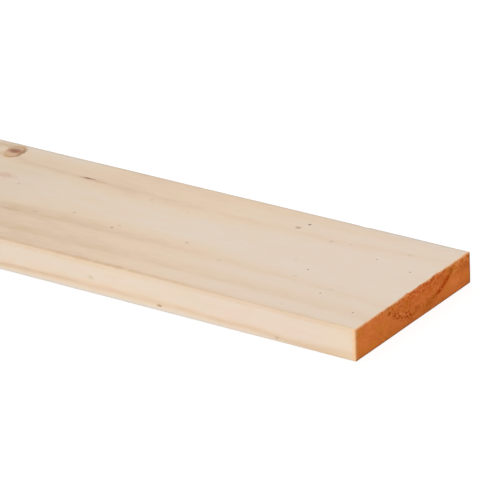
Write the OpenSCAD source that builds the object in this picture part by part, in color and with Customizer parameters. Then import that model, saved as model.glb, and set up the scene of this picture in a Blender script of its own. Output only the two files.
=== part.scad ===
// Planed softwood plank, lying flat on one of its wide faces.
// X runs along the grain, Y across the wide face and Z up from the underside.
// The origin is at the middle of the underside.

/* [Plank] */
// Length along the grain, from one sawn end to the other
plank_length = 2438; // [300:1:6100]
// Width of the wide faces after planing
plank_width = 235; // [38:1:330]
// Thickness between the wide faces after planing
plank_thickness = 38; // [16:1:100]

/* [Arrises] */
// Radius that eases the four long arrises
arris_radius = 1.5; // [0.5:0.1:6]

/* [Hidden] */
// Sides of a full circle at the arris radius
arris_sides = 96;
// How far the waste of an arris reaches past the two faces it meets
cut_overrun = 1;
// Pale softwood, planed and left bare
timber_colour = "#E0CFBB";

// The sharp corner that easing takes away, with the arc's centre at the origin
module arris_waste() {
    difference() {
        square(arris_radius + cut_overrun);
        circle(r = arris_radius, $fn = arris_sides);
    }
}

// Section across the grain, centred, with the width along its first axis
module plank_section() {
    arc_centre = [plank_width / 2 - arris_radius, plank_thickness / 2 - arris_radius];
    difference() {
        square([plank_width, plank_thickness], center = true);
        for (edge = [0, 1], face = [0, 1])
            mirror([edge, 0, 0])
                mirror([0, face, 0])
                    translate(arc_centre)
                        arris_waste();
    }
}

// The whole plank: one sawn piece with square ends
module plank() {
    color(timber_colour)
        translate([0, 0, plank_thickness / 2])
            rotate([90, 0, 90])
                linear_extrude(height = plank_length, center = true)
                    plank_section();
}

plank();
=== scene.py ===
from functools import partial, reduce
from math import cos, inf, pi, radians, sin
import bpy
from mathutils import Matrix, Vector


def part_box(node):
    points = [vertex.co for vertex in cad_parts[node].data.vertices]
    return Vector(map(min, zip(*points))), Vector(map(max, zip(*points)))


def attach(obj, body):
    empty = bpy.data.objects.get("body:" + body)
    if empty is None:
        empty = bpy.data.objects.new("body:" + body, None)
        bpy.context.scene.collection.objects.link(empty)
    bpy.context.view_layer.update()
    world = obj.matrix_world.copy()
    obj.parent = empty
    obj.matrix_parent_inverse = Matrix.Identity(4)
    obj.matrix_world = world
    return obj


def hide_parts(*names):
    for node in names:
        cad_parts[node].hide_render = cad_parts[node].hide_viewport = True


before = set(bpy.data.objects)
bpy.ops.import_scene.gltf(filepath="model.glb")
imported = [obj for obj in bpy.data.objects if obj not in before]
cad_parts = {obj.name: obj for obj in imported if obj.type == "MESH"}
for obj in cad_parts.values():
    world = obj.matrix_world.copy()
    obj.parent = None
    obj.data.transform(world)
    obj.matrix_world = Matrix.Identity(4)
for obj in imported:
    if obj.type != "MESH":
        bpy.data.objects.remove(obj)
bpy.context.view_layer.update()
mmPerMetre = 1000.0
plankLow, plankHigh = (Vector(corner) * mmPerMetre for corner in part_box("plank"))  # millimetres
plankSize = plankHigh - plankLow
plankMiddle = (plankLow + plankHigh) / 2
otherEnd = plankSize.x  # counted from the end that the camera sees
farEdge = plankSize.y  # counted from the near edge
print("frame loaded: plank", [round(side, 1) for side in plankSize], "mm")


# sRGB hex to a linear colour with alpha
def hexColour(text):
    parts = [int(text[at:at + 2], 16) / 255 for at in (1, 3, 5)]
    return [p / 12.92 if p <= 0.04045 else ((p + 0.055) / 1.055) ** 2.4 for p in parts] + [1.0]


# draws a curve through points given in the pattern's own units
def drawThrough(mapping, points):
    mapping.use_clip = False
    line = mapping.curves[0]
    line.points[0].location = points[0]
    line.points[-1].location = points[-1]
    for at, height in points[1:-1]:
        line.points.new(at, height)
    for point in line.points:
        point.handle_type = "AUTO_CLAMPED"
    mapping.update()


# sets a ramp's tints, the first one at its start and the last one at its end
def setTints(ramp, tints):
    first, last = tints[0][0], tints[-1][0]
    ramp.elements[0].color = hexColour(tints[0][1])
    ramp.elements[1].color = hexColour(tints[-1][1])
    for at, tint in tints[1:-1]:
        ramp.elements.new((at - first) / (last - first)).color = hexColour(tint)


# adds a node with its settings; inputs are values or sources, in socket order or by name
def addNode(tree, kind, inputs=(), operation=None, points=(), tints=(), **settings):
    node = tree.nodes.new(kind)
    if operation:
        node.operation = operation
    for name, value in settings.items():
        setattr(node, name, value)
    if points:
        drawThrough(node.mapping, points)
    if tints:
        setTints(node.color_ramp, tints)
    shown = [socket for socket in node.inputs if socket.enabled]
    for key, value in inputs.items() if isinstance(inputs, dict) else enumerate(inputs):
        socket = node.inputs[key] if isinstance(key, str) else shown[key]
        if isinstance(value, bpy.types.Node):
            value = next(out for out in value.outputs if out.enabled)
        if isinstance(value, bpy.types.NodeSocket):
            tree.links.new(value, socket)
        elif value is not None:
            socket.default_value = value
    return node


# empties the nodes of a material or a world, and returns the call that adds new ones
def emptied(owner):
    owner.use_nodes = True
    owner.node_tree.nodes.clear()
    return partial(addNode, owner.node_tree)


noiseSpan = (0.3, 0.7)  # most of a noise's values lie between these
smooth = {"interpolation_type": "SMOOTHSTEP"}  # for a range that eases in and out


# soft patches of one size (along, across, up), running from low to high
def patches(node, place, size, low, high, detail=2.0, *, seed):
    cells = node("ShaderNodeVectorMath", [place, size], "DIVIDE")
    cloud = node("ShaderNodeTexNoise", {"Vector": cells, "W": seed, "Scale": 1.0, "Detail": detail},
                 noise_dimensions="4D")
    return node("ShaderNodeMapRange", [cloud, *noiseSpan, low, high], clamp=False)


# lays a tint over a colour round a middle; soft is where it is full and gone, in half sizes
def smear(node, place, colour, middle, halves, ragged, soft, tint, strength):
    off = node("ShaderNodeVectorMath", [place, middle], "SUBTRACT")
    off = node("ShaderNodeVectorMath", [off, [1 / half for half in halves]], "MULTIPLY")
    far = node("ShaderNodeVectorMath", [off], "LENGTH")
    far = node("ShaderNodeMath", [far, ragged], "ADD")
    inSmear = node("ShaderNodeMapRange", [far, *soft, strength, 0], **smooth)
    return node("ShaderNodeMix", [inSmear, colour, hexColour(tint)], data_type="RGBA")


# a material's surface: its colour, roughness and relief, with heights in mm
def surface(node, look, colour, rough, height):
    bump = node("ShaderNodeBump", {"Strength": look["relief"], "Distance": 1 / mmPerMetre, "Height": height})
    shader = node("ShaderNodeBsdfPrincipled", {"Base Color": colour, "Roughness": rough, "Normal": bump,
                                               "Specular IOR Level": look["specular"]})
    node("ShaderNodeOutputMaterial", [shader])


# where a point is on the plank, in millimetres
def onPlank(node):
    coords = node("ShaderNodeTexCoord").outputs["Object"]
    return node("ShaderNodeVectorMath", {"Vector": coords, "Scale": mmPerMetre}, "SCALE")


# a place on the plank, counted from the end and the far edge that the camera sees
def fromCorner(fromEnd, fromFarEdge, height):
    return Vector((plankHigh.x - fromEnd, plankHigh.y - fromFarEdge, height))


# log: rings round a pith that runs above the plank, and the branches that grew out of it

logLook = {
    # pith: mm from the seen end, aside from the plank's middle, height
    "pith": [(0, 14, 99), (32, 15.5, 103), (77, 14.5, 106.6), (122, 14.3, 109.6), (180, 13.5, 111.3),
             (250, 14, 112.2), (320, 14, 112.8), (430, 15.8, 111.6), (500, 16, 109.8), (560, 17.5, 107.5),
             (640, 18, 107), (720, 17, 109), (1000, 13, 112), (1400, 20, 109), (1900, 12, 113),
             (otherEnd, 18, 108)],
    # patches that shift the rings: their size, and how far inward and outward, mm
    "sway": ((260, 42, 42), -0.4, 0.4), "ripple": ((45, 9, 9), -0.4, 0.4),
    "branchFoot": (19, 109),  # where branches leave the pith: aside, height
    # mm from the seen end, way out (degrees down from the far side), lean along the log, girth per mm grown
    "branches": [(608, 43.85, -0.12, 0.1291), (1010, 118, 0.1, 0.0636), (1385, 72, -0.08, 0.1091),
                 (1890, 140, 0.05, 0.0909), (2190, 35, 0.1, 0.0727)],
    "leastGirth": 0.45,  # mm
    "heart": ((-0.1, 0.18, 0.11), (0.76, 1.55, 1.55)),  # a knot's heart: offset and squash, in its girths
    "swell": (1.0, 2.6, 5.0),  # rings swell round a branch: from and out to, in its girths, and by, mm
}


def softwoodLog():
    tree = bpy.data.node_groups.new("softwoodLog", "ShaderNodeTree")
    tree.interface.new_socket("Place", in_out="INPUT", socket_type="NodeSocketVector")
    for name in ("Radius", "From End", "Knot", "Heart"):
        tree.interface.new_socket(name, in_out="OUTPUT", socket_type="NodeSocketFloat")
    node = partial(addNode, tree)
    place = node("NodeGroupInput").outputs["Place"]
    axes = node("ShaderNodeSeparateXYZ", [place]).outputs
    fromEnd = node("ShaderNodeMath", [plankHigh.x, axes["X"]], "SUBTRACT")
    stations, asides, heights = zip(*logLook["pith"])
    aside, above = (node("ShaderNodeFloatCurve", {"Value": fromEnd}, points=list(zip(stations, ways)))
                    for ways in (asides, heights))
    pith = node("ShaderNodeCombineXYZ", [axes["X"], aside, above])
    radius = node("ShaderNodeVectorMath", [place, pith], "DISTANCE")
    for seed, name in enumerate(("sway", "ripple")):
        shift = patches(node, place, *logLook[name], seed=seed)
        radius = node("ShaderNodeMath", [radius, shift], "ADD")

    # distance from each branch, in its own girths, and from its heart
    knots, hearts = [], []
    offset, squash = logLook["heart"]
    for station, angle, lean, spread in logLook["branches"]:
        foot = Vector((plankHigh.x - station, *logLook["branchFoot"]))
        way = Vector((lean, cos(radians(angle)), -sin(radians(angle)))).normalized()
        out = node("ShaderNodeVectorMath", [place, foot], "SUBTRACT")
        grown = node("ShaderNodeVectorMath", [out, way], "DOT_PRODUCT")
        girth = node("ShaderNodeMath", [grown, spread], "MULTIPLY")
        girth = node("ShaderNodeMath", [girth, logLook["leastGirth"]], "MAXIMUM")
        onAxis = node("ShaderNodeVectorMath", {"Vector": tuple(way), "Scale": grown}, "SCALE")
        across = node("ShaderNodeVectorMath", [out, onAxis], "SUBTRACT")
        inGirths = node("ShaderNodeVectorMath", [across, girth], "DIVIDE")
        knots.append(node("ShaderNodeVectorMath", [inGirths], "LENGTH"))
        heart = node("ShaderNodeVectorMath", [inGirths, offset], "SUBTRACT")
        heart = node("ShaderNodeVectorMath", [heart, squash], "MULTIPLY")
        hearts.append(node("ShaderNodeVectorMath", [heart], "LENGTH"))
    knot, heart = (reduce(lambda a, b: node("ShaderNodeMath", [a, b], "MINIMUM"), shares)
                   for shares in (knots, hearts))
    begins, reach, swell = logLook["swell"]
    swelling = node("ShaderNodeMapRange", [knot, begins, reach, swell, 0], **smooth)
    radius = node("ShaderNodeMath", [radius, swelling], "SUBTRACT")
    node("NodeGroupOutput", {"Radius": radius, "From End": fromEnd, "Knot": knot, "Heart": heart})
    return tree


# planed softwood

timberLook = {
    # colours at tones: sapwood, spring wood, the warm base between bands, and summer wood
    "tones": [(-0.2, "#E4D4C3"), (0.0, "#E2D1BF"), (0.13, "#E3CEB6"), (0.31, "#E2CAAF"), (0.41, "#E0C7AD"),
              (0.56, "#DCC3A9"), (0.76, "#D9BFA2"), (1.0, "#D6BA98"), (1.4, "#CAA981")],
    # greyer where the end has weathered, as far as the wood is this fresh
    "greyTones": [(-0.2, "#E4D3C2"), (0.0, "#E2D0BE"), (0.15, "#E2CDB9"), (0.3, "#E0CAB3"), (0.6, "#DBC0A2"),
                  (1.0, "#D6BA98")],
    "greyUntil": 0.3,
    # how fresh the wood is, from the seen end
    "fade": [(0, 0.0), (110, 0.02), (175, 0.09), (255, 0.26), (345, 0.66), (430, 1.0), (480, 1.12),
             (515, 1.12), (560, 1.0), (640, 0.95), (800, 0.8), (1100, 0.35), (1500, 0.9), (1950, 0.3),
             (otherEnd, 0.6)],
    # tone against distance from the pith, where the end has weathered and where the face is fresh
    "weathered": [(70, -0.03), (76, -0.05), (82, 0.0), (86, 0.09), (90.5, 0.2), (93, 0.17), (96, 0.08),
                  (100, 0.04), (104, 0.06), (108, 0.13), (113, 0.23), (119, 0.28), (123, 0.23), (127, 0.12),
                  (132, 0.06), (138, 0.06), (142, 0.18), (146, 0.28), (149, 0.2), (152, 0.04), (156, 0.0),
                  (162, 0.0), (164.3, 0.16), (166.4, 0.48), (168, 0.3), (170.5, 0.03), (176, -0.03)],
    "fresh": [(70, 0.05), (76, 0.06), (80, 0.17), (84, 0.43), (88, 0.66), (91, 0.73), (94, 0.57), (97, 0.45),
              (103, 0.43), (109, 0.46), (114, 0.55), (119, 0.68), (122.5, 0.77), (125, 0.66), (128, 0.48),
              (132, 0.45), (137, 0.46), (142, 0.54), (146, 0.62), (149, 0.56), (152, 0.28), (156, 0.06),
              (163, 0.04), (166, 0.22), (168.2, 0.66), (170, 0.3), (172.5, 0.03)],
    # zones are paler on the far side: share lost against mm aside, and how much of that from the seen end
    "farPaler": [(0, 0.0), (15, 0.0), (35, 0.25), (52, 0.35), (61, 0.36), (67, 0.24), (73, 0.12), (90, 0.16),
                 (108, 0.38), (118, 0.4)],
    "farPalerAlong": [(0, 1.0), (430, 1.0), (480, 1.6), (530, 2.6), (600, 2.7), (700, 2.0), (1000, 1.0),
                      (otherEnd, 1.0)],
    # thin dark lines where a year ends: strength by distance from the pith and from the seen end, patches
    # that break them, and how they weaken towards the far side (mm aside, strength)
    "yearEndTint": "#8E7357",
    "yearEnds": [(70, 0.0), (89.6, 0.0), (91.8, 0.05), (93.2, 0.0), (120.6, 0.0), (122.8, 0.05), (124.2, 0.0),
                 (145, 0.0), (147.5, 0.03), (149, 0.0), (166.6, 0.0), (167.8, 0.1), (168.8, 0.0), (180, 0.0)],
    "yearEndsAlong": [(0, 0.45), (90, 0.75), (150, 0.5), (300, 0.5), (430, 0.8), (600, 1.1), (otherEnd, 0.9)],
    "yearEndsBroken": ((32, 8, 8), 0.1, 1.9), "yearEndsAside": (20, 60, 1, 0.6),
    # greyer and darker away from the seen end: colour, strength from the seen end
    "dulling": ("#A0937E", [(0, 0.02), (60, 0.01), (130, 0.0), (300, 0.0), (430, 0.035), (490, 0.055),
                         (525, 0.085), (560, 0.115), (640, 0.11), (900, 0.06), (otherEnd, 0.05)]),
    # patches a little yellower and pinker: size, tints, where they begin and are full, strength
    "tinge": ((38, 14, 14), -1, 1), "tingeTints": ("#DCCBA6", "#E6C4B2"), "tingeAt": (0.1, 1.0),
    "tingeShare": 0.18,
    "year": 4.4, "yearLate": 3.0, "yearTone": 0.05,  # mm a year, how late in it the tone rises, and by what
    # patches of tone, in mm: bands break into blotches, and fibre, too fine to show, is drawn this coarse
    "broken": ((22, 7, 7), 0.72, 1.28), "mottle": ((130, 16, 16), -0.04, 0.04),
    "blotch": ((26, 7, 7), -0.055, 0.055), "fibre": ((55, 0.9, 0.9), -0.03, 0.03),
    "roughness": (0.55, 0.68), "specular": 0.2,
    # relief in mm: fibre (times its tone), late wood, and planer ripple, drawn wide so that it shows
    "fibreLift": 0.6, "lateLift": 0.03, "rippleEvery": 6.0, "rippleLift": 0.004, "relief": 0.6,
    # lines along the arrises: aside, height, half width, furriness (mm), colour, strength from the seen end
    "lines": [(plankLow.y + 5.0, plankHigh.z, 4.6, 2.2, "#CBA06E",
               [(0, 0.0), (110, 0.0), (180, 0.1), (260, 0.28), (345, 0.46), (430, 0.24), (560, 0.2),
                (900, 0.15), (1500, 0.4), (otherEnd, 0.2)]),
              (plankLow.y + 1.0, plankHigh.z - 1.0, 5.0, 0.8, "#D0AB7C",
               [(0, 0.24), (180, 0.27), (345, 0.17), (430, 0.22), (otherEnd, 0.25)]),
              (plankLow.y, plankLow.z + 5.5, 8.0, 0.8, "#D0AE84",
               [(0, 0.4), (45, 0.37), (78, 0.12), (105, 0.0), (otherEnd, 0.0)]),
              # painted light: the lower near arris drawn paler, where the floor's shade would darken it
              (plankLow.y, plankLow.z, 6.5, 0.6, "#DCD4CA",
               [(0, 0.0), (90, 0.1), (200, 0.5), (300, 0.7), (otherEnd, 0.6)]),
              (plankHigh.y, plankHigh.z, 17.0, 0.7, "#DAD2CA",
               [(0, 0.5), (70, 0.42), (130, 0.2), (210, 0.0), (otherEnd, 0.0)]),
              # painted shade: the far upper arris drawn darker and greyer, where it turns from the lamp
              (plankHigh.y, plankHigh.z, 6.0, 0.7, "#A8A096",
               [(0, 0.42), (400, 0.4), (otherEnd, 0.4)])],
    "lineFur": ((11, 90, 90), 3.0),  # size and detail of the patches on their sides
    "lineSoft": (0.1, 1.0),  # full and gone, in half widths
}


# tone of the wood: growth zones that fade towards the seen end, years, blotches and fibre
def woodTone(node, place, grown):
    weathered, fresh = (node("ShaderNodeFloatCurve", {"Value": grown["Radius"]}, points=timberLook[name])
                        for name in ("weathered", "fresh"))
    fade, along = (node("ShaderNodeFloatCurve", {"Value": grown["From End"]}, points=timberLook[name])
                   for name in ("fade", "farPalerAlong"))
    aside = node("ShaderNodeSeparateXYZ", [place]).outputs["Y"]
    aside = node("ShaderNodeMath", [aside, 0.0], "MAXIMUM")
    lost = node("ShaderNodeFloatCurve", {"Value": aside}, points=timberLook["farPaler"])
    lost = node("ShaderNodeMath", [lost, along], "MULTIPLY")
    kept = node("ShaderNodeMath", [1.0, lost], "SUBTRACT")
    fresh = node("ShaderNodeMath", [fresh, kept], "MULTIPLY")
    tone = node("ShaderNodeMix", [fade, weathered, fresh], data_type="FLOAT", clamp_factor=False)
    broken = patches(node, place, *timberLook["broken"], seed=4)
    tone = node("ShaderNodeMath", [tone, broken], "MULTIPLY")
    year = node("ShaderNodeMath", [grown["Radius"], timberLook["year"]], "DIVIDE")
    year = node("ShaderNodeMath", [year], "FRACT")
    late = node("ShaderNodeMath", [year, timberLook["yearLate"]], "POWER")
    tone = node("ShaderNodeMath", [late, timberLook["yearTone"], tone], "MULTIPLY_ADD")
    for seed, name in enumerate(("mottle", "blotch", "fibre"), start=5):
        fibre = patches(node, place, *timberLook[name], seed=seed)  # the last of them is relief too
        tone = node("ShaderNodeMath", [tone, fibre], "ADD")
    return tone, fade, late, fibre


# patches a little yellower or pinker, year-end lines, and greyer, darker wood away from the seen end
def woodTints(node, place, grown, colour):
    tinge = patches(node, place, *timberLook["tinge"], seed=16)
    begins, full = timberLook["tingeAt"]
    for tint, way in zip(timberLook["tingeTints"], (1, -1)):
        inPatch = node("ShaderNodeMapRange", [tinge, begins * way, full * way, 0, timberLook["tingeShare"]])
        colour = node("ShaderNodeMix", [inPatch, colour, hexColour(tint)], data_type="RGBA")
    rings = node("ShaderNodeFloatCurve", {"Value": grown["Radius"]}, points=timberLook["yearEnds"])
    along = node("ShaderNodeFloatCurve", {"Value": grown["From End"]}, points=timberLook["yearEndsAlong"])
    line = node("ShaderNodeMath", [rings, along], "MULTIPLY")
    broken = patches(node, place, *timberLook["yearEndsBroken"], seed=17)
    line = node("ShaderNodeMath", [line, broken], "MULTIPLY", use_clamp=True)
    aside = node("ShaderNodeSeparateXYZ", [place]).outputs["Y"]
    weaker = node("ShaderNodeMapRange", [aside, *timberLook["yearEndsAside"]])
    line = node("ShaderNodeMath", [line, weaker], "MULTIPLY")
    colour = node("ShaderNodeMix", [line, colour, hexColour(timberLook["yearEndTint"])], data_type="RGBA")
    # greyer and darker away from the seen end
    tint, along = timberLook["dulling"]
    dulled = node("ShaderNodeFloatCurve", {"Value": grown["From End"]}, points=along)
    return node("ShaderNodeMix", [dulled, colour, hexColour(tint)], data_type="RGBA")


# darker and paler lines along the arrises, from the cutter and handling, with painted shade on the far upper
# arris and painted light on the lower near one
def arrisLines(node, place, grown, colour):
    size, detail = timberLook["lineFur"]
    for seed, (aside, height, half, furry, tint, along) in enumerate(timberLook["lines"], start=9):
        fur = patches(node, place, size, -furry / half, furry / half, detail, seed=seed)
        strength = node("ShaderNodeFloatCurve", {"Value": grown["From End"]}, points=along)
        middle, halves = (0, aside, height), (inf, half, half)
        colour = smear(node, place, colour, middle, halves, fur, timberLook["lineSoft"], tint, strength)
    return colour


knotLook = {
    # colours from the middle of the heart outward
    "tones": [(0.0, "#8F614A"), (0.28, "#9A6E56"), (0.48, "#B48B70"), (0.64, "#CDA98B"), (0.9, "#CDAA88")],
    "rim": "#A8825A", "rimAt": (0.6, 0.84, 1.0),  # bark ring: from, darkest, to
    # stronger on the side nearer the seen end: mm from the branch, strength
    "rimShows": [(-14, 1.0), (11, 0.95), (19, 0.45), (28, 0.12), (60, 0.3)],
    "rimBroken": ((12, 9, 9), 0.6, 1.1),
    "soft": (0.82, 1.05),  # where the knot gives way to straight grain
    "wobble": ((9, 8, 8), 0.88, 1.12),
}


# knots: a dark heart in paler wood, with a bark ring that fades on one side
def knots(node, place, grown, colour):
    wobble = patches(node, place, *knotLook["wobble"], seed=12)
    knot = node("ShaderNodeMath", [grown["Knot"], wobble], "MULTIPLY")
    heart = node("ShaderNodeMath", [grown["Heart"], wobble], "MULTIPLY")
    tones = knotLook["tones"]
    outward = node("ShaderNodeMapRange", [heart, tones[0][0], tones[-1][0], 0, 1])
    knotColour = node("ShaderNodeValToRGB", [outward], tints=tones)
    inKnot = node("ShaderNodeMapRange", [knot, *knotLook["soft"], 1, 0], **smooth)
    colour = node("ShaderNodeMix", [inKnot, colour, knotColour], data_type="RGBA")
    begins, darkest, ends = knotLook["rimAt"]
    rising = node("ShaderNodeMapRange", [knot, begins, darkest, 0, 1], **smooth)
    falling = node("ShaderNodeMapRange", [knot, darkest, ends, 1, 0], **smooth)
    rim = node("ShaderNodeMath", [rising, falling], "MULTIPLY")
    shows = [(branch[0] + step, share) for branch in logLook["branches"]
             for step, share in knotLook["rimShows"]]
    shows = node("ShaderNodeFloatCurve", {"Value": grown["From End"]}, points=shows)
    rim = node("ShaderNodeMath", [rim, shows], "MULTIPLY")
    broken = patches(node, place, *knotLook["rimBroken"], seed=13)
    rim = node("ShaderNodeMath", [rim, broken], "MULTIPLY")
    return node("ShaderNodeMix", [rim, colour, hexColour(knotLook["rim"])], data_type="RGBA")


markLook = {
    # on the top face: from the seen end and the far edge, half sizes along and across (mm), colour, strength
    "topSmears": [(612, 64, 110, 20, "#D8C2A0", 0.45),  # yellowed wood beside the first knot
                  (496, 44.3, 15, 2.9, "#83583F", 0.95),  # resin streak and its tail
                  (480, 46, 22, 3.2, "#C9A283", 0.5),
                  (203, 40.5, 5, 4.2, "#92704C", 0.5),  # resin spot
                  (590, 84, 26, 9, "#CDA990", 0.6),  # reddish bruises
                  (522, 160.5, 20, 3.2, "#C0A084", 0.5),
                  (632, 33, 10, 7, "#CFB696", 0.75),  # the first knot's ring: gone, resinous and dark
                  (621, 38.5, 8, 3.5, "#C2A068", 0.5),
                  (611, 20, 4.5, 16, "#86603F", 0.45),
                  (637, 10.5, 27, 9.5, "#C4A888", 0.65)],  # brown wood between the knot and the far edge
    # on the near edge: from the seen end, height, half sizes along and up (mm), colour, strength
    "edgeSmears": [(470, 30, 110, 10, "#DFD0C2", 0.5),  # bleached
                   (353, 19.5, 6, 3.5, "#C9B98C", 0.55),  # green stain
                   (259, 6.5, 4.5, 1.9, "#A98A55", 0.85),  # brown fleck
                   (102, 4.8, 4, 3, "#BBA68F", 0.6)],  # scuff
    "depth": 4,  # mm that a smear goes into the wood
    "ragged": ((7, 3, 3), -0.3, 0.3, 3.0), "soft": (0.2, 1.0),  # their sides; full and gone, in half sizes
    # small dark specks on the top face: from the seen end, from the far edge, radius (mm), strength
    "specks": [(196, 27, 2.8, 1.0), (202, 41.5, 1.8, 0.4), (149, 54, 4.2, 0.22), (126, 50, 1.4, 0.6),
               (78, 70, 1.9, 0.7), (28, 80, 2.1, 0.6), (130, 130, 1.8, 0.95), (289, 137, 3.6, 0.32),
               (388, 145, 3.6, 0.42), (384, 136, 3.0, 0.22), (451, 132, 3.6, 0.25), (230, 159, 5.0, 0.11),
               (84, 175, 1.7, 1.0), (26, 199, 1.5, 1.0), (558, 97, 3.6, 0.24), (52, 42, 4.0, 0.13),
               (492, 153, 6.0, 0.13), (394, 58.5, 5.0, 0.13), (134, 151, 5.0, 0.08), (79, 161, 5.0, 0.08),
               (206, 156, 3.5, 0.07), (157, 114, 3.5, 0.1), (105, 219, 3.5, 0.1), (337, 68, 3.0, 0.08),
               (349, 127, 3.5, 0.07)],
    "speckColour": "#3E2818",
    "strays": (75, 1.7, 0.6, 650),  # further specks: mm apart, radius, strength, begin from the seen end
}


# smears, stains and specks on the planed faces
def marks(node, place, grown, colour):
    ragged = patches(node, place, *markLook["ragged"], seed=14)
    depth = markLook["depth"]
    smears = [(fromCorner(fromEnd, fromFar, plankHigh.z), (halfLong, halfWide, depth), tint, strength)
              for fromEnd, fromFar, halfLong, halfWide, tint, strength in markLook["topSmears"]]
    smears += [(fromCorner(fromEnd, farEdge, height), (halfLong, depth, halfHigh), tint, strength)
               for fromEnd, height, halfLong, halfHigh, tint, strength in markLook["edgeSmears"]]
    for middle, halves, tint, strength in smears:
        colour = smear(node, place, colour, middle, halves, ragged, markLook["soft"], tint, strength)

    spots = []
    for fromEnd, fromFar, size, strength in markLook["specks"]:
        middle = fromCorner(fromEnd, fromFar, plankHigh.z)
        away = node("ShaderNodeVectorMath", [place, middle], "DISTANCE")
        spots.append(node("ShaderNodeMapRange", [away, 0.0, size, strength, 0], **smooth))
    apart, size, strength, beyond = markLook["strays"]
    cells = node("ShaderNodeVectorMath", {"Vector": place, "Scale": 1 / apart}, "SCALE")
    away = node("ShaderNodeTexVoronoi", {"Vector": cells, "Scale": 1.0}).outputs["Distance"]
    stray = node("ShaderNodeMapRange", [away, 0.0, size / apart, strength, 0], **smooth)
    further = node("ShaderNodeMath", [grown["From End"], beyond], "GREATER_THAN")
    spots.append(node("ShaderNodeMath", [stray, further], "MULTIPLY"))
    inSpeck = reduce(lambda a, b: node("ShaderNodeMath", [a, b], "MAXIMUM"), spots)
    return node("ShaderNodeMix", [inSpeck, colour, hexColour(markLook["speckColour"])], data_type="RGBA")


soakLook = {
    "tint": "#EDC193", "reach": (0.3, 5.8),  # mm along the grain, full and gone
    "wideShare": (0, 5, 1.0, 0.5),  # mm in from the narrow face, from and to; share of that reach there
    "ragged": ((6, 5, 5), 0.6, 1.4, 3.0),
    # a yellow cast beyond it on the narrow faces: mm along the grain and mm in, full and gone
    "cast": "#F2D8A8", "castReach": (4, 60), "castIn": (1, 4), "castStrength": 0.18,
}


# end paint that soaked past the arris, far along the narrow faces and a little on the wide ones
def soakedPaint(node, place, colour):
    off = node("ShaderNodeVectorMath", [place, plankMiddle], "SUBTRACT")
    off = node("ShaderNodeVectorMath", [off], "ABSOLUTE")
    depth = node("ShaderNodeVectorMath", [plankSize / 2, off], "SUBTRACT")
    depth = node("ShaderNodeSeparateXYZ", [depth]).outputs  # below the nearest faces, mm
    cast = node("ShaderNodeMapRange", [depth["X"], *soakLook["castReach"], soakLook["castStrength"], 0])
    onNarrow = node("ShaderNodeMapRange", [depth["Y"], *soakLook["castIn"], 1, 0])
    cast = node("ShaderNodeMath", [cast, onNarrow], "MULTIPLY")
    colour = node("ShaderNodeMix", [cast, colour, hexColour(soakLook["cast"])], data_type="RGBA")
    share = node("ShaderNodeMapRange", [depth["Y"], *soakLook["wideShare"]])
    ragged = patches(node, place, *soakLook["ragged"], seed=15)
    share = node("ShaderNodeMath", [share, ragged], "MULTIPLY")
    reach = node("ShaderNodeMath", [depth["X"], share], "DIVIDE")
    soaked = node("ShaderNodeMapRange", [reach, *soakLook["reach"], 1, 0], **smooth)
    return node("ShaderNodeMix", [soaked, colour, hexColour(soakLook["tint"])], data_type="RGBA")


# spruce or pine, planed and bare: pale and matt, with soft summer-wood bands and a little lifted fibre
def planedSoftwood(log):
    material = bpy.data.materials.new("planedSoftwood")
    node = emptied(material)
    place = onPlank(node)
    grown = node("ShaderNodeGroup", {"Place": place}, node_tree=log).outputs
    tone, fade, late, fibre = woodTone(node, place, grown)
    ramps = []
    for name in ("greyTones", "tones"):
        tints = timberLook[name]
        share = node("ShaderNodeMapRange", [tone, tints[0][0], tints[-1][0], 0, 1])
        ramps.append(node("ShaderNodeValToRGB", [share], tints=tints))
    warm = node("ShaderNodeMapRange", [fade, 0.0, timberLook["greyUntil"], 0, 1])
    colour = node("ShaderNodeMix", [warm, *ramps], data_type="RGBA")
    colour = woodTints(node, place, grown, colour)
    colour = arrisLines(node, place, grown, colour)
    colour = knots(node, place, grown, colour)
    colour = marks(node, place, grown, colour)
    colour = soakedPaint(node, place, colour)

    # surface: lifted fibre, proud late wood and planer ripple
    along = node("ShaderNodeSeparateXYZ", [place]).outputs["X"]
    turn = node("ShaderNodeMath", [along, 2 * pi / timberLook["rippleEvery"]], "MULTIPLY")
    ripple = node("ShaderNodeMath", [turn], "SINE")
    height = node("ShaderNodeMath", [fibre, timberLook["fibreLift"]], "MULTIPLY")
    height = node("ShaderNodeMath", [late, timberLook["lateLift"], height], "MULTIPLY_ADD")
    height = node("ShaderNodeMath", [ripple, timberLook["rippleLift"], height], "MULTIPLY_ADD")
    size, least, most = timberLook["fibre"]
    rough = node("ShaderNodeMapRange", [fibre, least, most, *timberLook["roughness"]])
    surface(node, timberLook, colour, rough, height)
    return material


# end seal

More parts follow.
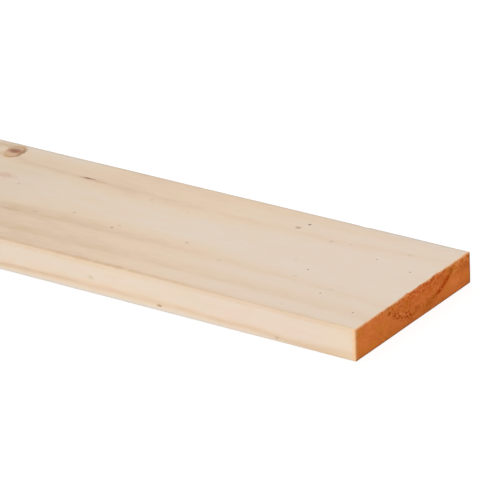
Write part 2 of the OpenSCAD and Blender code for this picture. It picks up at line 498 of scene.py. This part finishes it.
paintLook = {
    "light": "#D17437", "dark": "#AC4700",  # the coat, and where summer wood drinks it
    "core": (84, 101, 0.29, 0.05),  # the coat is darker inside the ring: from and to radius, tone in and out
    # tone against distance from the pith: bands of summer wood
    "rings": [(70, 0.0), (78.5, 0.0), (81, 0.2), (83.5, 0.0), (87, 0.05), (89.5, 0.35), (91.5, 0.7),
              (93.6, 0.8), (96, 0.3), (99, 0.0), (117, 0.0), (119.5, 0.25), (121.5, -0.25), (124, 0.0),
              (150, 0.0)],
    # how strongly they show and how far they stray (mm), from the near edge
    "ringShows": [(0, 0.3), (40, 0.5), (58, 1.0), (70, 1.1), (90, 0.95), (108, 0.9), (122, 0.65), (146, 0.6),
                  (158, 0.95), (168, 1.1), (180, 1.05), (192, 1.0), (203, 0.75), (212, 0.3), (farEdge, 0.2)],
    "ringStrays": [(0, 0), (92, 0), (112, 2.5), (135, 3.8), (152, 3), (165, 0.8), (178, 0), (192, -1.4),
                   (200, -2), (farEdge, -2)],
    "ringWobble": ((30, 9, 9), -0.5, 0.5),
    # broken into dashes: patch size, weakest from the near edge, strongest
    "dash": (5, 3.4, 2.8), "dashDetail": 1.0, "dashStrongest": 1.35,
    "dashWeakest": [(0, 0.0), (50, 0.35), (76, 0.35), (95, 0.1), (130, 0.0), (160, 0.65), (farEdge, 0.65)],
    # redder near the top: full and gone (mm down), strength from the near edge
    "ruddy": "#C24E10", "ruddyDown": (1, 20),
    "ruddyShows": [(0, 0.0), (60, 0.06), (90, 0.12), (108, 0.4), (125, 0.55), (158, 0.5), (168, 0.42),
                   (180, 0.1), (farEdge, 0.0)],
    # patches of tone, in mm: pores, too fine to show, are drawn as coarse as the grain here
    "cloud": ((30, 26, 26), -0.2, 0.2), "grain": ((3, 2.8, 2.4), -0.17, 0.17),
    "golden": "#C2761C", "thin": ((34, 24, 14), -0.35, 0.5),  # the coat is golden where it is thin
    # flecks of clotted and of bare fibre, coarser than real so that they show: tint, begin, full, strength
    "fleck": ((5, 3.6, 2.5), -1, 1, 0.0),
    "fleckTints": [("#943C04", 0.15, 0.6, 0.75), ("#E09058", -0.2, -0.65, 0.55)],
    # they lie below the upper arris: full and gone (mm down), strength from the near edge
    "fleckDown": (2, 20),
    "fleckShows": [(0, 0.15), (45, 0.25), (75, 0.35), (100, 0.62), (150, 0.78), (170, 0.75), (190, 0.4),
                   (215, 0.9), (230, 0.8), (farEdge, 0.3)],
    # and on the ring: strength against distance from the pith and from the near edge
    "ringFleck": [(70, 0.0), (84, 0.0), (88, 0.7), (95.5, 0.9), (99, 0.0), (150, 0.0)],
    "ringFleckShows": [(0, 0.1), (52, 0.3), (64, 1.0), (104, 1.0), (118, 0.4), (150, 0.4), (165, 0.45),
                       (184, 0.3), (198, 0.2), (215, 0.05), (farEdge, 0.0)],
    # thicker and thinner coat: from the near edge, height, half sizes across and up (mm), colour, strength
    "smears": [(27, 5, 21, 9, "#CE7A34", 0.5), (38, 5, 8, 6, "#CE7E1A", 0.5),
               (72, 16, 17, 13, "#B4571C", 0.32), (223, 24.5, 15, 8, "#A64A1A", 0.5),
               (123, 14, 8, 4, "#9C4408", 0.4), (111, 6.5, 5, 4.5, "#96420A", 0.4),
               (148, 6, 14, 8, "#A4500A", 0.35), (203, 22, 8, 6, "#AC541A", 0.3),
               (195.5, 31, 5, 6, "#A04A0C", 0.6), (206, 12, 8, 5, "#D88448", 0.35)],
    "smearRagged": ((9, 7, 6), -0.3, 0.3), "smearSoft": (0.1, 1.2),  # patches; full and gone, in half sizes
    # along the arrises: which one, how far in the tint reaches (mm), its colour, strength from the near edge
    "rims": [("near", 9.0, "#C88A48", [(0, 0.58), (farEdge, 0.58)]),
             ("near", 3.4, "#DDB083", [(0, 1.0), (farEdge, 1.0)]),
             # painted shade: darker along the far upright arris, where the end turns from the lamp
             ("far", 4.0, "#85481C", [(0, 0.75), (farEdge, 0.75)]),
             ("lower", 17.0, "#A04C14", [(0, 0.14), (45, 0.17), (75, 0.28), (farEdge, 0.28)]),
             # painted shade: a thin dark band along the foot of the end
             ("lower", 3.3, "#865E36", [(0, 0.52), (farEdge, 0.52)]),
             ("upper", 2.7, "#E6B58A",
              [(0, 0.65), (98, 0.65), (104, 0.25), (140, 0.25), (146, 0.65), (152, 0.6), (157, 0.18),
               (166, 0.25), (177, 0.7), (195, 0.8), (farEdge, 0.75)])],
    "rimRagged": ((6, 5, 5), 0.5, 1.5), "rimFull": 0.3,  # patches; mm in at full strength
    "kerfEvery": 2.5, "kerfLift": 0.02, "relief": 0.7,  # saw marks, mm
    "roughness": 0.75, "specular": 0.02,
}


# orange end seal brushed over a sawn end: matt, thin and mottled, darker where the rings drink it
def endSeal(log):
    material = bpy.data.materials.new("endSealPaint")
    node = emptied(material)
    place = onPlank(node)
    axes = node("ShaderNodeSeparateXYZ", [place]).outputs
    grown = node("ShaderNodeGroup", {"Place": place}, node_tree=log).outputs
    sides = {"upper": node("ShaderNodeMath", [plankHigh.z, axes["Z"]], "SUBTRACT"),
             "lower": node("ShaderNodeMath", [axes["Z"], plankLow.z], "SUBTRACT"),
             "near": node("ShaderNodeMath", [axes["Y"], plankLow.y], "SUBTRACT"),
             "far": node("ShaderNodeMath", [plankHigh.y, axes["Y"]], "SUBTRACT")}
    fromNear = {name: node("ShaderNodeFloatCurve", {"Value": sides["near"]}, points=paintLook[name])
                for name in ("ringShows", "ringStrays", "dashWeakest", "ruddyShows", "fleckShows",
                             "ringFleckShows")}

    # rings
    radius = grown["Radius"]
    for shift in (patches(node, place, *paintLook["ringWobble"], seed=21), fromNear["ringStrays"]):
        radius = node("ShaderNodeMath", [radius, shift], "ADD")
    rings = node("ShaderNodeFloatCurve", {"Value": radius}, points=paintLook["rings"])
    dashes = patches(node, place, paintLook["dash"], fromNear["dashWeakest"], paintLook["dashStrongest"],
                     paintLook["dashDetail"], seed=22)
    for share in (fromNear["ringShows"], dashes):
        rings = node("ShaderNodeMath", [rings, share], "MULTIPLY")
    core = node("ShaderNodeMapRange", [radius, *paintLook["core"]], **smooth)
    tone = node("ShaderNodeMath", [rings, core], "ADD")
    for seed, name in enumerate(("cloud", "grain"), start=23):
        grain = patches(node, place, *paintLook[name], seed=seed)  # the last of them is relief too
        tone = node("ShaderNodeMath", [tone, grain], "ADD")
    colour = node("ShaderNodeMix", [tone, hexColour(paintLook["light"]), hexColour(paintLook["dark"])],
                  data_type="RGBA", clamp_factor=False)
    thin = patches(node, place, *paintLook["thin"], seed=25)
    colour = node("ShaderNodeMix", [thin, colour, hexColour(paintLook["golden"])], data_type="RGBA")
    ruddy = node("ShaderNodeMapRange", [sides["upper"], *paintLook["ruddyDown"], fromNear["ruddyShows"], 0],
                 **smooth)
    colour = node("ShaderNodeMix", [ruddy, colour, hexColour(paintLook["ruddy"])], data_type="RGBA")

    # flecks of clotted and of bare fibre
    below = node("ShaderNodeMapRange", [sides["upper"], *paintLook["fleckDown"], fromNear["fleckShows"], 0])
    onRing = node("ShaderNodeFloatCurve", {"Value": radius}, points=paintLook["ringFleck"])
    onRing = node("ShaderNodeMath", [onRing, fromNear["ringFleckShows"]], "MULTIPLY")
    shows = node("ShaderNodeMath", [below, onRing], "MAXIMUM")
    fleck = patches(node, place, *paintLook["fleck"], seed=26)
    for tint, begins, full, strength in paintLook["fleckTints"]:
        inFleck = node("ShaderNodeMapRange", [fleck, begins, full, 0, strength])
        inFleck = node("ShaderNodeMath", [inFleck, shows], "MULTIPLY", use_clamp=True)
        colour = node("ShaderNodeMix", [inFleck, colour, hexColour(tint)], data_type="RGBA")

    # thicker and thinner smears, the same on both ends, and tints along the arrises, with painted shade on
    # the far arris and along the foot
    spread = patches(node, place, *paintLook["smearRagged"], seed=28)
    for aside, height, halfWide, halfHigh, tint, strength in paintLook["smears"]:
        middle, halves = (0, plankLow.y + aside, height), (inf, halfWide, halfHigh)
        colour = smear(node, place, colour, middle, halves, spread, paintLook["smearSoft"], tint, strength)
    ragged = patches(node, place, *paintLook["rimRagged"], seed=27)
    for name, reach, tint, along in paintLook["rims"]:
        inward = node("ShaderNodeMath", [sides[name], ragged], "MULTIPLY")
        strength = node("ShaderNodeFloatCurve", {"Value": sides["near"]}, points=along)
        rim = node("ShaderNodeMapRange", [inward, paintLook["rimFull"], reach, strength, 0], **smooth)
        colour = node("ShaderNodeMix", [rim, colour, hexColour(tint)], data_type="RGBA")

    # saw marks under the coat
    turn = node("ShaderNodeMath", [axes["Y"], 2 * pi / paintLook["kerfEvery"]], "MULTIPLY")
    kerf = node("ShaderNodeMath", [turn], "SINE")
    height = node("ShaderNodeMath", [kerf, paintLook["kerfLift"], grain], "MULTIPLY_ADD")
    surface(node, paintLook, colour, paintLook["roughness"], height)
    return material


# the plank

plankLook = {
    "rows": (341, 110, 16),  # vertices along, across and up
    "crowding": (1.6, 1.6, 2.0),  # how fast the rows draw together towards the arrises, 1 is evenly
    "arris": 1.5, "arrisVaries": 0.35, "arrisEvery": 90,  # mm, and mm from one change to the next
    "nick": 0.9, "nickEvery": 20, "nickRare": -3,  # the lower the last, the rarer
    "arrisApart": (0, 0.7, 1.3),  # where each of the four arrises takes its own pattern
    "endWaver": 0.25, "waverEvery": 30, "waverRare": 0,
    "endTear": 2.2, "tearEvery": 9, "tearRare": -0.8,
    "endBand": 6, "tearBand": 3,  # mm from the end that these reach, and from the top that tears reach
    "crease": 40,  # degrees; a sharper edge isn't smoothed
    "endFacing": 0.7,  # a face belongs to an end where its normal runs this much along the plank
    "seed": 4.0,
}


def plankTree(wood, paint):
    tree = bpy.data.node_groups.new("plankStock", "GeometryNodeTree")
    sizes = {"Length": plankSize.x, "Width": plankSize.y, "Thickness": plankSize.z,
             "Arris": plankLook["arris"], "Arris Varies": plankLook["arrisVaries"],
             "Nick": plankLook["nick"], "End Waver": plankLook["endWaver"], "End Tear": plankLook["endTear"]}
    inputs = {name: size / mmPerMetre for name, size in sizes.items()} | {"Seed": plankLook["seed"]}
    values = {}
    for name, value in inputs.items():
        socket = tree.interface.new_socket(name, in_out="INPUT", socket_type="NodeSocketFloat")
        values[socket.identifier] = value
    tree.interface.new_socket("Geometry", in_out="OUTPUT", socket_type="NodeSocketGeometry")
    node = partial(addNode, tree)
    given = node("NodeGroupInput").outputs
    whole = node("ShaderNodeCombineXYZ", [given["Length"], given["Width"], given["Thickness"]])
    half = node("ShaderNodeVectorMath", {"Vector": whole, "Scale": 0.5}, "SCALE")
    block = node("GeometryNodeMeshCube", [whole, *plankLook["rows"]])

    # rows crowd towards the arrises
    unit = node("ShaderNodeVectorMath", [node("GeometryNodeInputPosition"), half], "DIVIDE")
    side = node("ShaderNodeVectorMath", [unit], "SIGN")
    away = node("ShaderNodeVectorMath", [unit], "ABSOLUTE")
    away = node("ShaderNodeVectorMath", [(1, 1, 1), away], "SUBTRACT")
    away = node("ShaderNodeVectorMath", [away, (0, 0, 0)], "MAXIMUM")
    away = node("ShaderNodeVectorMath", [away, plankLook["crowding"]], "POWER")
    unit = node("ShaderNodeVectorMath", [(1, 1, 1), away], "SUBTRACT")
    unit = node("ShaderNodeVectorMath", [unit, side], "MULTIPLY")
    flat = node("ShaderNodeVectorMath", [unit, half], "MULTIPLY")
    stock = node("GeometryNodeSetPosition", {"Geometry": block, "Position": flat})

    # the long arrises are eased, a little more in some places than in others, with a few nicks
    at = node("GeometryNodeInputPosition")
    side = node("ShaderNodeVectorMath", [at], "SIGN")
    corner = node("ShaderNodeVectorMath", [side, plankLook["arrisApart"]], "MULTIPLY")
    alongX = node("ShaderNodeVectorMath", [at, (1, 0, 0), corner], "MULTIPLY_ADD")
    varies = patches(node, alongX, (plankLook["arrisEvery"] / mmPerMetre, 1, 1), -1, 1, seed=given["Seed"])
    easing = node("ShaderNodeMath", [varies, given["Arris Varies"], given["Arris"]], "MULTIPLY_ADD")
    nicks = patches(node, alongX, (plankLook["nickEvery"] / mmPerMetre, 1, 1), plankLook["nickRare"], 1,
                    seed=given["Seed"])
    nicks = node("ShaderNodeMath", [nicks, 0.0], "MAXIMUM")
    easing = node("ShaderNodeMath", [nicks, given["Nick"], easing], "MULTIPLY_ADD")
    cutIn = node("ShaderNodeCombineXYZ", [0.0, easing, easing])
    core = node("ShaderNodeVectorMath", [half, cutIn], "SUBTRACT")
    out = node("ShaderNodeVectorMath", [at], "ABSOLUTE")
    out = node("ShaderNodeVectorMath", [out, core], "SUBTRACT")
    out = node("ShaderNodeVectorMath", [out, (0, 0, 0)], "MAXIMUM")
    reach = node("ShaderNodeVectorMath", [out], "LENGTH")
    sides = node("ShaderNodeSeparateXYZ", [out]).outputs
    most = node("ShaderNodeMath", [sides["Y"], sides["Z"]], "MAXIMUM")
    pull = node("ShaderNodeMath", [most, reach], "DIVIDE")
    pull = node("ShaderNodeMath", [pull, 1.0], "SUBTRACT")
    inward = node("ShaderNodeVectorMath", {"Vector": out, "Scale": pull}, "SCALE")
    inward = node("ShaderNodeVectorMath", [inward, side], "MULTIPLY")
    stock = node("GeometryNodeSetPosition", {"Geometry": stock, "Offset": inward})

    # the sawn ends waver, and fibres are torn here and there along their upper arrises
    at = node("GeometryNodeInputPosition")
    axes = node("ShaderNodeSeparateXYZ", [at]).outputs
    halves = node("ShaderNodeSeparateXYZ", [half]).outputs
    endSide = node("ShaderNodeMath", [axes["X"]], "SIGN")
    toEnd = node("ShaderNodeMath", [axes["X"]], "ABSOLUTE")
    toEnd = node("ShaderNodeMath", [halves["X"], toEnd], "SUBTRACT")
    toTop = node("ShaderNodeMath", [halves["Z"], axes["Z"]], "SUBTRACT")
    nearEnd, nearTop = (node("ShaderNodeMapRange", [far, 0.0, plankLook[band] / mmPerMetre, 1, 0], **smooth)
                        for far, band in ((toEnd, "endBand"), (toTop, "tearBand")))
    shift = 0.0
    for every, rare, amount, where in (("waverEvery", "waverRare", "End Waver", 1.0),
                                       ("tearEvery", "tearRare", "End Tear", nearTop)):
        size = [plankLook[every] / mmPerMetre] * 3
        share = patches(node, at, size, plankLook[rare], 1, seed=given["Seed"])
        share = node("ShaderNodeMath", [share, 0.0], "MAXIMUM")
        share = node("ShaderNodeMath", [share, where], "MULTIPLY")
        shift = node("ShaderNodeMath", [share, given[amount], shift], "MULTIPLY_ADD")
    shift = node("ShaderNodeMath", [shift, nearEnd], "MULTIPLY")
    inward = node("ShaderNodeMath", [endSide, -1.0], "MULTIPLY")
    shift = node("ShaderNodeMath", [shift, inward], "MULTIPLY")
    offset = node("ShaderNodeCombineXYZ", [shift])
    stock = node("GeometryNodeSetPosition", {"Geometry": stock, "Offset": offset})

    # lies on the floor, smooth but for the edges of the ends
    lift = node("ShaderNodeCombineXYZ", {"Z": halves["Z"]})
    stock = node("GeometryNodeSetPosition", {"Geometry": stock, "Offset": lift})
    angle = node("GeometryNodeInputMeshEdgeAngle").outputs["Unsigned Angle"]
    crease = node("FunctionNodeCompare", [angle, radians(plankLook["crease"])], "GREATER_THAN")
    stock = node("GeometryNodeSetShadeSmooth", {"Geometry": stock, "Shade Smooth": True})
    stock = node("GeometryNodeSetShadeSmooth", {"Geometry": stock, "Selection": crease,
                                                "Shade Smooth": False}, domain="EDGE")
    stock = node("GeometryNodeRealizeInstances", {"Geometry": stock})
    stock = node("GeometryNodeSetMaterial", {"Geometry": stock, "Material": wood})
    facing = node("ShaderNodeSeparateXYZ", [node("GeometryNodeInputNormal")]).outputs["X"]
    facing = node("ShaderNodeMath", [facing], "ABSOLUTE")
    isEnd = node("FunctionNodeCompare", [facing, plankLook["endFacing"]], "GREATER_THAN")
    stock = node("GeometryNodeSetMaterial", {"Geometry": stock, "Selection": isEnd, "Material": paint})
    node("NodeGroupOutput", [stock])
    return tree, values


# runs a tree once and leaves its result as a plain mesh at the origin
def plainPiece(name, tree, values):
    maker = bpy.data.objects.new(name + "Maker", bpy.data.meshes.new(name + "Maker"))
    bpy.context.scene.collection.objects.link(maker)
    modifier = maker.modifiers.new(tree.name, "NODES")
    modifier.node_group = tree
    for identifier, value in values.items():
        modifier[identifier] = value
    seen = bpy.context.evaluated_depsgraph_get()
    mesh = bpy.data.meshes.new_from_object(maker.evaluated_get(seen), depsgraph=seen)
    maker.modifiers.remove(modifier)
    bpy.data.objects.remove(maker)
    while mesh.materials[0] is None:  # the cube's own empty slot
        mesh.materials.pop(index=0)
    piece = bpy.data.objects.new(name, mesh)
    bpy.context.scene.collection.objects.link(piece)
    return piece


# places and sizes on the map are shares of its side
bakeLook = {
    "name": "OFBake",
    "margin": 0.002,  # free at both ends of a row
    "rows": (0.002, 0.457), "rowHigh": 0.443,  # where the two rows start
    "gap": 3.0,  # mm between faces
    "ends": ((0.004, 0.915), (0.504, 0.915)), "endScale": 2.0 / 1024,  # where they go, share per mm
}


# unrolls the plank for baking: two rows, each half the length all round, and the two ends above them
def unrollForBake(mesh):
    gap = bakeLook["gap"]
    margin = bakeLook["margin"]
    wide, high = plankSize.y, plankSize.z
    alongScale = (1 - 2 * margin) / (plankSize.x / 2)
    girthScale = bakeLook["rowHigh"] / (2 * (wide + high) + 3 * gap)
    layer = mesh.uv_layers.new(name=bakeLook["name"])
    for face in mesh.polygons:
        way = face.normal
        for loop in face.loop_indices:
            at = mesh.vertices[mesh.loops[loop].vertex_index].co * mmPerMetre
            fromNear, fromFar = at.y - plankLow.y, plankHigh.y - at.y
            if abs(way.x) > plankLook["endFacing"]:
                startX, startY = bakeLook["ends"][way.x < 0]
                scale = bakeLook["endScale"]
                spot = (startX + (fromNear if way.x > 0 else fromFar) * scale, startY + at.z * scale)
            else:
                if abs(way.z) > abs(way.y):
                    girth = fromNear if way.z > 0 else wide + high + 2 * gap + fromFar
                else:
                    girth = wide + gap + at.z if way.y < 0 else 2 * wide + high + 3 * gap + high - at.z
                inFirst = face.center.x > 0
                fromRowStart = at.x if inFirst else at.x - plankLow.x
                start = bakeLook["rows"][0 if inFirst else 1]
                spot = (margin + fromRowStart * alongScale, start + girth * girthScale)
            layer.data[loop].uv = spot


log = softwoodLog()
wood = planedSoftwood(log)
paint = endSeal(log)
print("materials made:", wood.name, paint.name)

plank = plainPiece("planedPlank", *plankTree(wood, paint))
unrollForBake(plank.data)
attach(plank, "root")
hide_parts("plank")
print("plank made:", len(plank.data.polygons), "faces")


# studio

studioLook = {
    "white": (1, 1, 1, 1),
    "floorSide": 60.0, "floorDrop": 0.0005,  # metres, the second clear of the plank's underside
    "floorColour": "#EFEFEF", "floorGlow": 0.75, "floorShade": (0.3, 0.3, 0.3, 1),
    "sky": (0.725, 1.0),  # strength as light, and as seen
    "key": 1.27, "keySoftness": 40,  # strength, degrees
    "keyWay": (0.28, -0.72, 0.64),  # towards the lamp
}


# 1 for rays from the camera, a shine or glass, 0 where a surface only gives light
def seenDirectly(node):
    ray = node("ShaderNodeLightPath").outputs
    direct = node("ShaderNodeMath", [ray["Is Camera Ray"], ray["Is Glossy Ray"]], "MAXIMUM")
    return node("ShaderNodeMath", [direct, ray["Is Transmission Ray"]], "MAXIMUM")


def studio():
    world = bpy.data.worlds.new("studioSky")
    node = emptied(world)
    strength = node("ShaderNodeMapRange", [seenDirectly(node), 0, 1, *studioLook["sky"]])
    sky = node("ShaderNodeBackground", [studioLook["white"], strength])
    node("ShaderNodeOutputWorld", [sky])
    bpy.context.scene.world = world

    # pale paper floor: white to the camera, with the plank's shadow left in
    material = bpy.data.materials.new("paleFloor")
    node = emptied(material)
    lit = node("ShaderNodeBsdfDiffuse", [hexColour(studioLook["floorColour"])])
    glow = node("ShaderNodeEmission", [studioLook["white"], studioLook["floorGlow"]])
    shade = node("ShaderNodeBsdfDiffuse", [studioLook["floorShade"]])
    seen = node("ShaderNodeAddShader", [glow, shade])
    shader = node("ShaderNodeMixShader", [seenDirectly(node), lit, seen])
    node("ShaderNodeOutputMaterial", [shader])
    reach, drop = studioLook["floorSide"] / 2, studioLook["floorDrop"]
    corners = [(x * reach, y * reach, -drop) for x, y in ((-1, -1), (1, -1), (1, 1), (-1, 1))]
    mesh = bpy.data.meshes.new("floor")
    mesh.from_pydata(corners, [], [(0, 1, 2, 3)])
    mesh.materials.append(material)
    floor = bpy.data.objects.new("floor", mesh)
    bpy.context.scene.collection.objects.link(floor)

    lamp = bpy.data.lights.new("softKey", "SUN")
    lamp.energy = studioLook["key"]
    lamp.angle = radians(studioLook["keySoftness"])
    key = bpy.data.objects.new("softKey", lamp)
    key.rotation_euler = Vector(studioLook["keyWay"]).to_track_quat("Z", "Y").to_euler()
    bpy.context.scene.collection.objects.link(key)


studio()
print("studio lit")


# camera, worked out from the plank's edges in the picture

shot = {
    "azimuth": 35.3005, "elevation": 24.2522, "roll": -2.3105,  # degrees
    "distance": 4.35903, "aside": -0.11368, "above": 0.12041,  # metres from the seen end's near lower corner
    "focal": 292.11, "film": 36.0,  # millimetres
    "farthest": 200.0,  # metres
}


def placeCamera():
    azimuth, elevation, roll = (radians(shot[name]) for name in ("azimuth", "elevation", "roll"))
    back = Vector((sin(azimuth) * cos(elevation), -cos(azimuth) * cos(elevation), sin(elevation)))
    level = Vector((0, 0, 1)).cross(back).normalized()
    upright = back.cross(level)
    right = level * cos(roll) + upright * sin(roll)
    up = upright * cos(roll) - level * sin(roll)
    corner = Vector((plankHigh.x, plankLow.y, plankLow.z)) / mmPerMetre
    data = bpy.data.cameras.new("camera")
    data.lens = shot["focal"]
    data.sensor_width = shot["film"]
    data.clip_end = shot["farthest"]
    camera = bpy.data.objects.new("camera", data)
    camera.matrix_world = Matrix((right, up, back)).transposed().to_4x4()
    camera.location = corner + back * shot["distance"] + right * shot["aside"] + up * shot["above"]
    bpy.context.scene.collection.objects.link(camera)
    bpy.context.scene.camera = camera


placeCamera()
bpy.context.scene.view_settings.view_transform = "Standard"
print("camera set")
